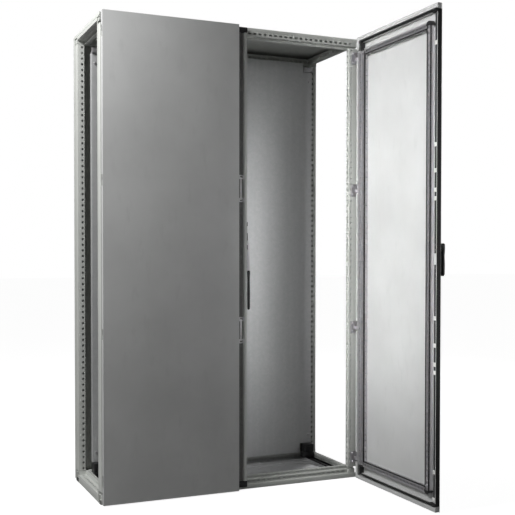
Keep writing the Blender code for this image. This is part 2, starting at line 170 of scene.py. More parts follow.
def galvanised():
    """Zinc-coated sheet: spangles of slightly different tone, faint rolling lines."""
    finish = Finish("galvanised_sheet")
    cells = finish.node("ShaderNodeTexVoronoi")
    cells.inputs["Scale"].default_value = 95.0
    finish.link(finish.place, cells.inputs["Vector"])
    tone = finish.node("ShaderNodeSeparateColor")
    finish.link(cells.outputs["Color"], tone.inputs["Color"])
    spangle = finish.blend(tone.outputs["Red"], (0.60, 0.61, 0.61), (0.65, 0.65, 0.655))
    lines = finish.noise(40.0, 3.0, (1, 1, 0.04))
    streak = finish.spread(lines, 0.0, 0.5, 0.4, 0.7)
    finish.colour(finish.blend(streak, spangle, (0.58, 0.585, 0.59)))
    finish.roughness(finish.spread(tone.outputs["Green"], 0.42, 0.48))
    finish.bump(lines, 0.00005, 0.4)
    finish.fixed(Metallic=0.62)
    return finish.material


def zinc(name, tone, rough):
    """Bright zinc plating on small steel parts, with a faint blue-violet passivation."""
    finish = Finish(name)
    film = finish.noise(55.0, 4.0)
    grain = finish.noise(900.0, 2.0)
    warm = tuple(part * shift for part, shift in zip(tone, (1.04, 1.0, 0.97)))
    finish.colour(finish.blend(finish.spread(film, 0.0, 1.0, 0.35, 0.65), tone, warm))
    finish.roughness(finish.spread(film, rough - 0.06, rough + 0.08, 0.3, 0.7))
    finish.bump(grain, 0.00004, 0.4)
    finish.fixed(Metallic=0.85)
    return finish.material


def moulded(name, tone, rough, grain_size, depth):
    """Moulded plastic or foamed rubber with a fine grain and rubbed, paler patches."""
    finish = Finish(name)
    grain = finish.noise(grain_size, 3.0)
    rub = finish.noise(48.0, 5.0)
    pale = tuple(min(1.0, 1.5 * part + 0.006) for part in tone)
    finish.colour(finish.blend(finish.spread(rub, 0.0, 0.6, 0.5, 0.75), tone, pale))
    finish.roughness(finish.spread(rub, rough - 0.07, rough + 0.08, 0.3, 0.7))
    finish.bump(grain, depth, 0.5)
    return finish.material


FRAME_PAINT = powder_coat("frame_paint", (0.60, 0.615, 0.585), 0.40)
DOOR_PAINT = powder_coat("door_paint", (0.56, 0.565, 0.56), 0.36)
GALVANISED = galvanised()
ZINC = zinc("zinc_steel", (0.62, 0.62, 0.65), 0.34)
DARK_ZINC = zinc("dark_zinc_steel", (0.055, 0.055, 0.06), 0.44)
# grey rubber for the centre strip's sealing bead, and also painted shade on the sheet that darkens the
# groove's floor
GREY_RUBBER_AND_GROOVE_SHADE = moulded("grey_rubber_and_groove_shade", (0.15, 0.15, 0.145), 0.70, 380.0, 0.00012)
BLACK_PLASTIC = moulded("black_plastic", (0.012, 0.012, 0.013), 0.42, 700.0, 0.00006)
BLACK_RUBBER = moulded("black_rubber", (0.010, 0.010, 0.010), 0.72, 380.0, 0.00015)
WHITE_PLASTIC = moulded("white_plastic", (0.72, 0.72, 0.70), 0.45, 600.0, 0.00004)
SLOT_FINISH = {
    "frame_paint": FRAME_PAINT,
    "door_paint": DOOR_PAINT,
    "galvanised_sheet": GALVANISED,
    "zinc_steel": ZINC,
    "black_plastic": BLACK_PLASTIC,
    "black_rubber": BLACK_RUBBER,
}


# ---- shapes ---------------------------------------------------------------------------
def block(bm, low, high, radius=0.0, steps=2):
    """Adds a box between two corners, with rounded edges."""
    low, high = Vector(low), Vector(high)
    size = [abs(b - a) for a, b in zip(low, high)]
    place = Matrix.Translation((low + high) / 2) @ Matrix.Diagonal((*size, 1.0))
    made = bmesh.ops.create_cube(bm, size=1.0, matrix=place)
    if radius:
        edges = list(dict.fromkeys(edge for corner in made["verts"] for edge in corner.link_edges))
        width = min(radius, 0.45 * min(size))
        bmesh.ops.bevel(bm, geom=edges, offset=width, segments=steps, affect="EDGES", profile=0.5)


def turned(bm, profile, centre, axis, sides=20):
    """Adds a turned shape. profile holds (radius, height) pairs, with height along the axis."""
    along = Vector(axis).normalized()
    side = along.orthogonal().normalized()
    other = along.cross(side)
    turns = [2 * math.pi * i / sides for i in range(sides)]
    rings = []
    for radius, height in profile:
        middle = Vector(centre) + along * height
        if radius == 0:
            rings.append([bm.verts.new(middle)])
            continue
        offsets = [radius * (math.cos(turn) * side + math.sin(turn) * other) for turn in turns]
        rings.append([bm.verts.new(middle + offset) for offset in offsets])
    skin_rings(bm, rings)


def skin_rings(bm, rings, closed=False):
    """Joins rings of vertices with faces; a ring of one vertex closes the end."""
    pairs = list(zip(rings, rings[1:]))
    if closed:
        pairs.append((rings[-1], rings[0]))
    count = max(len(ring) for ring in rings)
    for near, far in pairs:
        for i in range(count):
            j = (i + 1) % count
            corners = [near[i % len(near)], near[j % len(near)], far[j % len(far)], far[i % len(far)]]
            corners = list(dict.fromkeys(corners))
            bm.faces.new(corners)


def drill(bm, centre, axis, radius, length, sides=20):
    """Adds the plain cylinder that cuts a bore."""
    turned(bm, [(0, 0), (radius, 0), (radius, length), (0, length)], centre, axis, sides)


def screw(bm, centre, axis, radius, height=None):
    """Adds a pan-head screw with a round recess."""
    height = height or 0.45 * radius
    head = [(0, 0), (1, 0), (1, 0.35), (0.86, 0.8), (0.55, 1), (0.42, 1), (0.36, 0.4), (0, 0.4)]
    turned(bm, [(radius * r, height * h) for r, h in head], centre, axis, 16)


def hex_bolt(bm, centre, axis, radius, height):
    """Adds a washer with a hexagon bolt head on it."""
    washer = [(0, 0), (1.45, 0), (1.45, 0.18), (0, 0.18)]
    head = [(0, 0.18), (1, 0.18), (1, 0.88), (0.86, 1.0), (0, 1.0)]
    for profile, sides in ((washer, 24), (head, 6)):
        turned(bm, [(radius * r, height * h) for r, h in profile], centre, axis, sides)


def prism(bm, outline, along):
    """Adds a closed prism: an outline of 3-D points, drawn along a vector."""
    near = [bm.verts.new(Vector(point)) for point in outline]
    far = [bm.verts.new(Vector(point) + Vector(along)) for point in outline]
    skin_rings(bm, [near, far])
    bm.faces.new(near)
    bm.faces.new(far[::-1])


def slab(bm, outline, low, high, axis="Y"):
    """Adds a flat plate: a 2-D outline in the other two axes, between low and high on axis."""
    order = {"X": lambda a, b: (low, a, b), "Y": lambda a, b: (a, low, b), "Z": lambda a, b: (a, b, low)}
    step = {"X": (high - low, 0, 0), "Y": (0, high - low, 0), "Z": (0, 0, high - low)}
    prism(bm, [order[axis](a, b) for a, b in outline], step[axis])


def capsule(middle, half_a, half_b, power=4.0, count=32):
    """A rounded rectangle as a 2-D outline."""
    points = []
    for i in range(count):
        angle = 2 * math.pi * i / count
        cos, sin = math.cos(angle), math.sin(angle)
        a = math.copysign(abs(cos) ** (2 / power), cos)
        b = math.copysign(abs(sin) ** (2 / power), sin)
        points.append((middle[0] + half_a * a, middle[1] + half_b * b))
    return points


def loft(bm, middle, sections, power, count, axis="Z"):
    """Adds a closed form through rounded rectangles round an axis, which is Y or Z. sections
    holds (place along the axis, half width, half depth)."""
    rings = []
    for place, half_a, half_b in sections:
        outline = capsule(middle, half_a, half_b, power, count)
        points = [(a, b, place) if axis == "Z" else (a, place, b) for a, b in outline]
        rings.append([bm.verts.new(point) for point in points])
    skin_rings(bm, rings)
    bm.faces.new(rings[0])
    bm.faces.new(rings[-1][::-1])


def rounded(corners, radius, closed, steps=2):
    """For each corner of an outline, the points that round it. An open outline's ends stay sharp."""
    count = len(corners)
    points = []
    for i, corner in enumerate(corners):
        corner = Vector(corner)
        if not closed and i in (0, count - 1):
            points.append([corner])
            continue
        before = (Vector(corners[i - 1]) - corner).normalized()
        after = (Vector(corners[(i + 1) % count]) - corner).normalized()
        start, end = corner + before * radius, corner + after * radius
        arc = []
        for step in range(steps + 1):
            t = step / steps
            arc.append(start * (1 - t) ** 2 + corner * 2 * t * (1 - t) + end * t**2)
        points.append(arc)
    return points


def hole_ring(bm, centre, across, along, power):
    """Twelve vertices round a hole; power 2 is an ellipse and more is squarer."""
    ring = capsule((0, 0), 1, 1, power, 12)
    return [bm.verts.new(centre + across * a + along * b) for a, b in ring]


def section(corners, holes, closed, bend):
    """Points round a rolled section, and the hole that each stretch after a point holds or None."""
    flat = [(u * MM, v * MM) for u, v in corners]
    count = len(flat)
    outline, stretches = [], []
    for i, arc in enumerate(rounded(flat, bend, closed)):
        outline += arc
        stretches += [None] * (len(arc) - 1)
        if i == count - 1 and not closed:
            break
        if i in holes:
            offset, half_u, half_v, power = holes[i]
            corner = Vector(flat[i])
            panel = Vector(flat[(i + 1) % count]) - corner
            direction = panel.normalized()
            room = (min(offset * MM, panel.length - offset * MM) - bend) / MM
            margin = min(half_u + 2.0, room - 0.2)
            half_u = min(half_u, margin - 0.5)
            outline += [corner + direction * (offset + s * margin) * MM for s in (-1, 1)]
            stretches += [None, (half_u * MM, half_v * MM, power), None]
        else:
            stretches.append(None)
    return outline, stretches


def hole_lines(length):
    """Distances along a section at which its holes begin, centre and end, and the number of the
    line at which each hole begins."""
    count = int((length - 2 * HOLE_END) / PITCH) + 1
    first = (length - (count - 1) * PITCH) / 2
    lines, starts = [0.0], []
    for k in range(count):
        middle = first + k * PITCH
        low = max(0.0, middle - PITCH / 2)
        if low > lines[-1] + 1e-6:
            lines.append(low)
        starts.append(len(lines) - 1)
        lines += [middle, min(length, middle + PITCH / 2)]
    if length > lines[-1] + 1e-6:
        lines.append(length)
    return lines, starts


def rolled(bm, corners, start, u_axis, v_axis, along, holes, closed=True, bend=0.0025):
    """Adds a rolled section: an outline of (u, v) corners in mm, drawn along a vector, with rows
    of holes. holes maps a panel's number to (distance from its first corner, half width, half
    length, squareness), in mm. A panel runs from one corner to the next. Give it a wall with
    finish_piece."""
    start, u_axis, v_axis = Vector(start), Vector(u_axis), Vector(v_axis)
    forward = Vector(along).normalized()
    outline, stretches = section(corners, holes, closed, bend)
    lines, starts = hole_lines(Vector(along).length)
    grid = [
        [bm.verts.new(start + u_axis * p[0] + v_axis * p[1] + forward * d) for p in outline]
        for d in lines
    ]
    columns = len(outline)
    for s in range(columns if closed else columns - 1):
        t = (s + 1) % columns
        holed_rows = set()
        if stretches[s]:
            half_u, half_v, power = stretches[s]
            for row in starts:
                low, mid, high = grid[row], grid[row + 1], grid[row + 2]
                across = (mid[t].co - mid[s].co).normalized() * half_u
                centre = (mid[t].co + mid[s].co) / 2
                ring = hole_ring(bm, centre, across, forward * half_v, power)
                outer = [mid[t], high[t], high[s], mid[s], low[s], low[t]]
                for i in range(6):
                    j = (i + 1) % 6
                    bm.faces.new([outer[i], outer[j], ring[(2 * i + 2) % 12], ring[2 * i + 1], ring[2 * i]])
                holed_rows |= {row, row + 1}
        for row in range(len(lines) - 1):
            if row not in holed_rows:
                bm.faces.new([grid[row][s], grid[row][t], grid[row + 1][t], grid[row + 1][s]])


def loop(bm, box, insets, y):
    """Four vertices of a rectangle in the x-z plane. insets are for low X, high X, low Z, high Z."""
    low_x, high_x, low_z, high_z = box
    left, right, low, high = insets
    corners = [
        (low_x + left, low_z + low),
        (high_x - right, low_z + low),
        (high_x - right, high_z - high),
        (low_x + left, high_z - high),
    ]
    return [bm.verts.new((x, y, z)) for x, z in corners]


def loops(bm, box, profile, capped):
    """Adds a framed shape: profile holds (insets, y) pairs, joined in turn. capped closes both
    ends as flat faces; otherwise the last loop joins the first."""
    rings = [loop(bm, box, insets, y) for insets, y in profile]
    skin_rings(bm, rings, closed=not capped)
    if capped:
        bm.faces.new(rings[0])
        bm.faces.new(rings[-1][::-1])


def even(value):
    """The same inset on all four sides."""
    return (value, value, value, value)


def mesh_of(bm, name):
    """The mesh of a bmesh."""
    mesh = bpy.data.meshes.new(name)
    bm.to_mesh(mesh)
    return mesh


def finish_piece(name, bm, body, slot, stands_for=(), material=None, wall=0.0, edge=0.0, cuts=None):
    """Turns a bmesh into a finished piece that rides on a body. wall gives a surface thickness
    inwards, cuts is a bmesh that is taken away, and edge rounds what is still sharp."""
    if body in RIGHT_BODIES:
        bm.transform(OPENED)
        if cuts:
            cuts.transform(OPENED)
    bmesh.ops.remove_doubles(bm, verts=bm.verts, dist=0.00001)
    bmesh.ops.recalc_face_normals(bm, faces=bm.faces)
    piece = bpy.data.objects.new(name, mesh_of(bm, name))
    bpy.context.scene.collection.objects.link(piece)
    if wall:
        sheet = piece.modifiers.new("Wall", "SOLIDIFY")
        sheet.thickness = wall
        sheet.offset = -1.0
    cutter = None
    if cuts:
        bmesh.ops.recalc_face_normals(cuts, faces=cuts.faces)
        cutter = bpy.data.objects.new(name + "_cut", mesh_of(cuts, name + "_cut"))
        bpy.context.scene.collection.objects.link(cutter)
        taken = piece.modifiers.new("Cut", "BOOLEAN")
        taken.operation = "DIFFERENCE"
        taken.solver = "EXACT"
        taken.object = cutter
    if edge:
        softened = piece.modifiers.new("Edge", "BEVEL")
        softened.width = edge
        softened.segments = 2
        softened.limit_method = "ANGLE"
        softened.angle_limit = math.radians(50)
        softened.use_clamp_overlap = True
    bpy.context.view_layer.update()
    shaped = bpy.data.meshes.new_from_object(piece.evaluated_get(bpy.context.evaluated_depsgraph_get()))
    piece.modifiers.clear()
    piece.data = shaped
    if cutter:
        bpy.data.objects.remove(cutter)
    shaped.shade_smooth()
    shaped.set_sharp_from_angle(angle=math.radians(32))
    shaped.materials.clear()
    shaped.materials.append(material or SLOT_FINISH[slot])
    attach(piece, body)
    if stands_for:
        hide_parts(*stands_for)


def stand_in(node, suffix, bm, body, slot, **more):
    """Finishes a piece that replaces the CAD node that it is named after."""
    finish_piece(f"{node}_{suffix}", bm, body, slot, (node,), **more)


# ---- frame ----------------------------------------------------------------------------
def make_posts():
    """Corner posts: stepped rolled sections with rows of holes at 25 mm pitch."""
    corners = ((0, 0), (50, 0), (50, 20), (33, 20), (33, 50), (0, 50))
    holes = {
        0: (37.5, 4.2, 5.6, 3.0),
        1: (10.5, 3.8, 5.2, 3.0),
        3: (15.0, 4.6, 5.0, 2.2),
        4: (11.0, 5.0, 5.4, 2.2),
    }
    for front_word, front in (("front", -1), ("rear", 1)):
        for side_word, side in (("left", -1), ("right", 1)):
            bm = bmesh.new()
            start = (side * HALF_WIDTH, front * POST_FACE, POST_LOW)
            rolled(bm, corners, start, (-side, 0, 0), (0, -front, 0), POST_LENGTH, holes)
            stand_in(f"post_{front_word}_{side_word}", "profile", bm, "frame", "frame_paint", wall=SHEET)


def make_rear_flanges():
    """Narrow flanges beside the rear posts, which the rear panel closes against."""
    corners = ((0, 0), (15, 0), (15, 14))
    holes = {0: (8.0, 2.6, 4.6, 3.0)}
    bm = bmesh.new()
    for side in (-1, 1):
        start = (side * 0.5505, 0.2045, POST_LOW)
        rolled(bm, corners, start, (-side, 0, 0), (0, 1, 0), POST_LENGTH, holes, closed=False)
    finish_piece("rear_flanges", bm, "frame", "frame_paint", wall=0.0015)


def make_cross_rails():
    """Front and rear rails of the roof and the base: rolled sections with a step and holes."""
    for level, low, up, tall in (("top", RAIL_TOP, -1, 32), ("base", 0.0, 1, 52)):
        for word, near, depth, inward in (("front", -RAIL_FACE, 40, 1), ("rear", POST_FACE, 50, -1)):
            step = depth - 16
            corners = ((0, 0), (depth, 0), (depth, tall), (step, tall), (step, tall - 10), (0, tall - 10))
            holes = {
                1: (tall / 2, 4.6, 5.2, 3.0),
                4: (step / 2, 4.0, 5.0, 3.0),
                5: ((tall - 10) / 2, 4.6, 7.6, 3.0),
            }
            if level == "base" and word == "front":
                corners = ((0, 0), (40, 0), (40, 52), (26, 52), (26, 38), (13, 38), (13, 20), (0, 20))
                holes = {2: (7.0, 3.2, 5.2, 3.0), 3: (7.0, 3.0, 5.6, 3.0), 5: (9.0, 4.0, 7.0, 3.0)}
            bm = bmesh.new()
            start = (-HALF_WIDTH, near, low)
            rolled(bm, corners, start, (0, inward, 0), (0, 0, up), (2 * HALF_WIDTH, 0, 0), holes)
            stand_in(f"{level}_rail_{word}", "profile", bm, "frame", "frame_paint", wall=SHEET)


def make_side_rails():
    """Side rails with a groove along the outer face, holes on the ledges."""
    top = ((0, 0), (50, 0), (50, 32), (33, 32), (33, 15), (0, 15))
    top_holes = {1: (16.0, 4.6, 5.2, 3.0), 3: (8.5, 4.0, 7.0, 3.0), 4: (16.0, 4.0, 5.0, 3.0)}
    base = ((0, 0), (65, 0), (65, 18), (50, 18), (50, 52), (33, 52), (33, 35), (0, 35))
    base_holes = {3: (19.0, 4.6, 5.2, 3.0), 4: (8.5, 3.2, 5.2, 3.0), 6: (16.0, 4.0, 5.0, 3.0)}
    for word, side in (("left", -1), ("right", 1)):
        for level, z, up, corners, holes in (
            ("top", RAIL_TOP, -1, top, top_holes),
            ("base", 0, 1, base, base_holes),
        ):
            bm = bmesh.new()
            start = (side * HALF_WIDTH, -SIDE_RAIL, z)
            rolled(bm, corners, start, (-side, 0, 0), (0, 0, up), (0, 2 * SIDE_RAIL, 0), holes)
            stand_in(f"{level}_rail_{word}", "profile", bm, "frame", "frame_paint", wall=SHEET)


def make_corners():
    """Corner pieces of the frame, seen between the rails' ends, and black plugs under them."""
    bm = bmesh.new()
    plugs = bmesh.new()
    for side in (-1, 1):
        for front in (-1, 1):
            face = RAIL_FACE if front < 0 else POST_FACE
            for low, high in ((0.004, 0.040), (RAIL_TOP - 0.020, RAIL_TOP - 0.003)):
                outer = (side * (HALF_WIDTH - 0.004), front * 0.176, low)
                block(bm, outer, (side * 0.560, front * (face - 0.004), high), 0.003)
            for y, half in ((0.200, 0.013), (0.100, 0.010)):
                outer = (side * 0.5997, front * (y - half), 0.0003)
                block(plugs, outer, (side * 0.584, front * min(y + half, face - 0.0003), 0.016), 0.003)
    finish_piece("frame_corner_pieces", bm, "frame", "frame_paint")
    finish_piece("frame_base_plugs", plugs, "frame", "black_plastic")


def make_floor():
    """Cross bar, and gland plates with folded joints and screws."""
    bar = bmesh.new()
    corners = ((0, 0), (40, 0), (40, 18), (0, 18))
    holes = {2: (20.0, 4.0, 5.0, 3.0)}
    rolled(bar, corners, (-0.020, -SIDE_RAIL, 0), (1, 0, 0), (0, 0, 1), (0, 2 * SIDE_RAIL, 0), holes)
    stand_in("base_cross_bar", "profile", bar, "frame", "frame_paint", wall=SHEET)
    top = 0.0202
    joints = (-0.1714, -0.0603, 0.0597, 0.1714)
    fixings = bmesh.new()
    for i, word in enumerate(("front", "middle", "rear")):
        near, far = joints[i] + 0.0006, joints[i + 1] - 0.0003
        bm = bmesh.new()
        block(bm, (-0.5494, near, 0.0184), (0.5494, far, top), 0.0008)
        for low, high in ((near + 0.001, near + 0.009), (far - 0.009, far - 0.001)):
            block(bm, (-0.545, low, top - 0.0002), (0.545, high, top + 0.0034), 0.0012)
        stand_in(f"gland_plate_{word}", "sheet", bm, "frame", "galvanised_sheet")
        for x in (-0.528, -0.27, -0.03, 0.528, 0.27, 0.03):
            screw(fixings, (x, (near + far) / 2, top), (0, 0, 1), 0.0062)
    finish_piece("gland_plate_screws", fixings, "frame", "zinc_steel")


def make_roof():
    """Roof plate: folded edges with soft corners, a drip edge, and four corner bolts."""
    top, low = 1.9956, 1.9820
    box = (-HALF_WIDTH, HALF_WIDTH, -RAIL_FACE, POST_FACE)
    outside = ((0.018, low), (0.0, low), (0.0, top - 0.0030), (0.0009, top - 0.0009), (0.0030, top))
    inside = ((0.0035, top - 0.0018), (0.0022, top - 0.0035), (0.0020, low + 0.0016))
    inside += ((0.018, low + 0.0016),)
    bm = bmesh.new()
    outer = [rect_z(bm, box, inset, z) for inset, z in outside]
    inner = [rect_z(bm, box, inset, z) for inset, z in inside]
    skin_rings(bm, outer)
    skin_rings(bm, inner)
    skin_rings(bm, [inner[-1], outer[0]])
    bm.faces.new(outer[-1])
    bm.faces.new(inner[0][::-1])
    stand_in("roof_plate", "sheet", bm, "frame", "frame_paint")
    bolts = bmesh.new()
    for x in (-0.565, 0.565):
        for y in (-0.178, 0.188):
            hex_bolt(bolts, (x, y, top), (0, 0, 1), 0.0095, 0.0042)
    finish_piece("roof_bolts", bolts, "frame", "zinc_steel")


def rect_z(bm, box, inset, z):
    """Four vertices of a level rectangle, inset from a box of low X, high X, low Y, high Y."""
    low_x, high_x, low_y, high_y = box
    left, right, near, far = low_x + inset, high_x - inset, low_y + inset, high_y - inset
    corners = ((left, near), (right, near), (right, far), (left, far))
    return [bm.verts.new((x, y, z)) for x, y in corners]


def make_rear_panel():
    """Rear panel: a tray open to the front, with screws along its edges."""
    box = (-DOOR_EDGE, DOOR_EDGE, DOOR_LOW, DOOR_HIGH)
    outer, rim = 0.250, 0.2292
    profile = (
        (0.0035, outer),
        (0.0010, outer - 0.0010),
        (0.0, outer - 0.0035),
        (0.0, rim + 0.0008),
        (0.0008, rim),
        (0.016, rim),
        (0.016, rim + 0.0016),
        (0.0020, rim + 0.0020),
        (0.0020, outer - 0.0028),
        (0.0030, outer - 0.0018),
    )
    bm = bmesh.new()
    loops(bm, box, [(even(inset), y) for inset, y in profile], capped=True)
    stand_in("rear_panel", "sheet", bm, "frame", "frame_paint")
    fixings = bmesh.new()
    for side in (-1, 1):
        for z in (0.06, 0.43, 0.81, 1.19, 1.57, 1.94):
            screw(fixings, (side * 0.584, outer - 0.0022, z), (0, 1, 0), 0.0075, 0.0021)
    finish_piece("rear_panel_screws", fixings, "frame", "zinc_steel")


def make_mounting_plate():
    """Zinc-coated plate folded back at its edges, notched for its slides and holders."""
    half, back = 0.5495, 0.142
    box = (-half, half, POST_LOW, POST_HIGH)
    profile = (
        (0.0022, back),
        (0.0022, PLATE_FACE + 0.004),
        (0.004, PLATE_FACE + 0.0022),
        (0.0045, PLATE_FACE),
        (0.0013, PLATE_FACE + 0.0011),
        (0.0, PLATE_FACE + 0.0045),
        (0.0, back),
    )
    bm = bmesh.new()
    rings = [loop(bm, box, even(inset), y) for inset, y in profile]
    skin_rings(bm, rings[:3])
    bm.faces.new(rings[2])
    bm.faces.new(rings[3])
    skin_rings(bm, rings[3:])
    skin_rings(bm, [rings[-1], rings[0]])
    notches = bmesh.new()
    for side in (-1, 1):
        block(notches, (side * 0.4847, 0.1, 0.0), (side * 0.61, 0.17, 0.0983))
        block(notches, (side * 0.4997, 0.1, 1.9047), (side * 0.61, 0.17, 2.0))
    stand_in("mounting_plate", "sheet", bm, "frame", "galvanised_sheet", cuts=notches)
    fixings = bmesh.new()
    ledges = bmesh.new()
    for word, side in (("left", -1), ("right", 1)):
        make_plate_fittings(word, side)
        hex_bolt(fixings, (side * 0.515, 0.1172, 1.918), (0, -1, 0), 0.0055, 0.005)
        for z in (0.14, 1.86):
            screw(fixings, (side * 0.532, PLATE_FACE, z), (0, -1, 0), 0.006, 0.0035)
        foot = (side * 0.4990, -0.135, 0.0203)
        block(ledges, foot, (side * 0.5145, 0.120, 0.0222), 0.0008)
        block(ledges, foot, (side * 0.5010, 0.120, 0.0330), 0.0008)
        for k in range(8):
            screw(ledges, (side * 0.5075, -0.115 + 0.03 * k, 0.0222), (0, 0, 1), 0.0042, 0.002)
    finish_piece("mounting_plate_bolts", fixings, "frame", "zinc_steel")
    finish_piece("plate_slide_ledges", ledges, "frame", "galvanised_sheet")


def make_plate_fittings(word, side):
    """One side's slide, the rail it runs on, and the holder at the top."""
    slide = bmesh.new()
    block(slide, (side * 0.487, 0.087, 0.0334), (side * 0.5485, 0.1215, 0.058), 0.004)
    block(slide, (side * 0.497, 0.093, 0.050), (side * 0.5485, 0.1415, 0.0975), 0.004)
    block(slide, (side * 0.512, 0.086, 0.050), (side * 0.536, 0.100, 0.088), 0.003)
    stand_in(f"plate_slide_{word}", "block", slide, "frame", "black_plastic")
    rail = bmesh.new()
    block(rail, (side * 0.516, -0.1345, 0.0206), (side * 0.549, 0.1415, 0.0250), 0.0012)
    for x in (0.519, 0.5455):
        block(rail, (side * (x - 0.0025), -0.134, 0.024), (side * (x + 0.0025), 0.141, 0.0324), 0.001)
    stand_in(f"plate_slide_rail_{word}", "channel", rail, "frame", "black_plastic")
    holder = bmesh.new()
    low = 1.9055
    block(holder, (side * 0.5005, 0.1165, low), (side * 0.549, 0.1415, low + 0.004), 0.001)
    block(holder, (side * 0.5005, 0.1175, low), (side * 0.549, 0.1215, low + 0.024), 0.001)
    block(holder, (side * 0.5340, 0.0985, low), (side * 0.549, 0.1215, low + 0.003), 0.001)
    stand_in(f"plate_holder_{word}", "clip", holder, "frame", "zinc_steel")


# ---- doors ----------------------------------------------------------------------------
class Door:
    """One door's pieces, drawn shut. side is -1 for the left door and +1 for the right."""

    def __init__(self, word, side):
        self.word = word
        self.side = side
        self.body = f"{word}_door"
        self.box = (*sorted((side * DOOR_FREE, side * DOOR_EDGE)), DOOR_LOW, DOOR_HIGH)

    def insets(self, free, hinge, ends):
        """Insets for loop, from the door's free edge, hinge edge and ends."""
        across = (free, hinge) if self.side > 0 else (hinge, free)
        return (*across, ends, ends)

    def x(self, distance):
        """X at a distance from the cabinet's middle line."""
        return self.side * distance

    def make_skin(self, overhang, lip):
        """Folded door sheet with soft outer edges; overhang is from the free edge to the fold."""

        def ring(inset, y, free=None):
            return (self.insets(overhang + inset if free is None else free, inset, inset), y)

        edge = FRONT + (0.0019 if overhang else 0.0030)
        profile = [ring(0.0032, FRONT, 0.0032), ring(0.0010, FRONT + 0.0008, 0.0010), ring(0.0, edge, 0.0)]
        if overhang:
            profile += [ring(0.0, DOOR_SKIN, 0.0), ring(0.0, DOOR_SKIN)]
        profile += [
            ring(0.0, DOOR_INNER - 0.0012),
            ring(0.0010, DOOR_INNER),
            ring(0.018, DOOR_INNER, overhang + lip),
            ring(0.018, DOOR_INNER - 0.0016, overhang + lip),
            ring(0.0018, DOOR_INNER - 0.0018),
            ring(0.0018, DOOR_SKIN + 0.0006),
            ring(0.0024, DOOR_SKIN),
        ]
        bm = bmesh.new()
        loops(bm, self.box, profile, capped=True)
        cuts = bmesh.new()
        for height in HINGE_HEIGHTS:
            low = (self.x(0.575), DOOR_SKIN + 0.0003, height - 0.016)
            block(cuts, low, (self.x(0.6003), DOOR_INNER + 0.002, height + 0.030))
        if overhang:
            for low, high in ((0.0265, 0.0395), (1.9605, 1.9735)):
                block(cuts, (0.0040, DOOR_SKIN + 0.0002, low), (0.0090, DOOR_INNER + 0.004, high))
            drill(cuts, (HANDLE_X, -0.26, HANDLE_Z), (0, 1, 0), 0.0072, 0.02)
        name = f"{self.word}_door_skin"
        finish_piece(f"{self.word}_door_sheet", bm, self.body, "door_paint", (name,), cuts=cuts)

    def make_gasket(self, free_outer, free_inner, flat_free=False):
        """Foamed gasket with a domed top, all round the inside of the door, and the lips that hold
        its ends. flat_free cuts it down to the fold's height at the free edge."""
        top = -0.2265
        foot = DOOR_SKIN + 0.0003
        rows = [(0.0, foot), (0.0, top - 0.010), (0.16, top - 0.0045), (0.30, top - 0.0012), (0.5, top)]
        rows += [(1.0 - share, y) for share, y in rows[3::-1]]
        profile = []
        for share, y in rows:
            free = free_outer + share * (free_inner - free_outer)
            profile.append((self.insets(free, 0.034 + share * 0.011, 0.0235 + share * 0.0055), y))
        bm = bmesh.new()
        loops(bm, self.box, profile, capped=False)
        cuts = None
        if flat_free:
            cuts = bmesh.new()
            block(cuts, (-0.001, DOOR_INNER - 0.0002, 0.0392), (0.0056, -0.22, 1.9608))
        name = f"{self.word}_door_gasket"
        finish_piece(name + "_foam", bm, self.body, "black_rubber", (name,), cuts=cuts)
        lips = bmesh.new()
        for z in (DOOR_LOW + 0.0296, DOOR_HIGH - 0.0308):
            block(lips, (self.x(0.048), foot, z), (self.x(0.552), -0.2352, z + 0.0012))
        finish_piece(name + "_lips", lips, self.body, "door_paint")

    def make_tube_frame(self):
        """Frame of perforated tubes: full-height uprights, cross tubes between them."""
        back = DOOR_SKIN + 0.0003
        depth = (TUBE_FACE - back) / MM
        groove = depth - 6
        upright = ((0, 0), (24, 0), (24, depth), (20.5, depth), (20.5, groove), (18.0, groove))
        upright += ((18.0, depth), (4.5, depth), (4.5, groove), (2.0, groove), (2.0, depth), (0, depth))
        holes = {6: (6.75, 3.0, 4.4, 2.4), 1: (8.0, 3.0, 4.0, 2.4)}
        bm = bmesh.new()
        for outer, inward in ((FREE_TUBE[0], self.side), (HINGE_TUBE[0], -self.side)):
            start = (self.x(outer), back, TUBE_LOW)
            up = (0, 0, TUBE_HIGH - TUBE_LOW)
            rolled(bm, upright, start, (inward, 0, 0), (0, 1, 0), up, holes, bend=0.0007)
        span = (self.side * (HINGE_TUBE[1] - FREE_TUBE[1] - 0.0004), 0, 0)
        cross = ((0, 0), (25, 0), (25, depth - 0.4), (0, depth - 0.4))
        holes = {2: (12.5, 4.6, 8.0, 3.0), 1: (9.0, 3.6, 7.0, 3.0)}
        for z, inward in ((TUBE_LOW, 1), (TUBE_HIGH, -1)):
            start = (self.x(FREE_TUBE[1] + 0.0002), back, z)
            rolled(bm, cross, start, (0, 0, inward), (0, 1, 0), span, holes, bend=0.0018)
        stand_in(f"{self.word}_door_tube_frame", "tubes", bm, self.body, "zinc_steel", wall=0.0008)
        self.make_tube_caps(back)
        self.make_tube_shade_strips()
        self.make_tube_fixings()

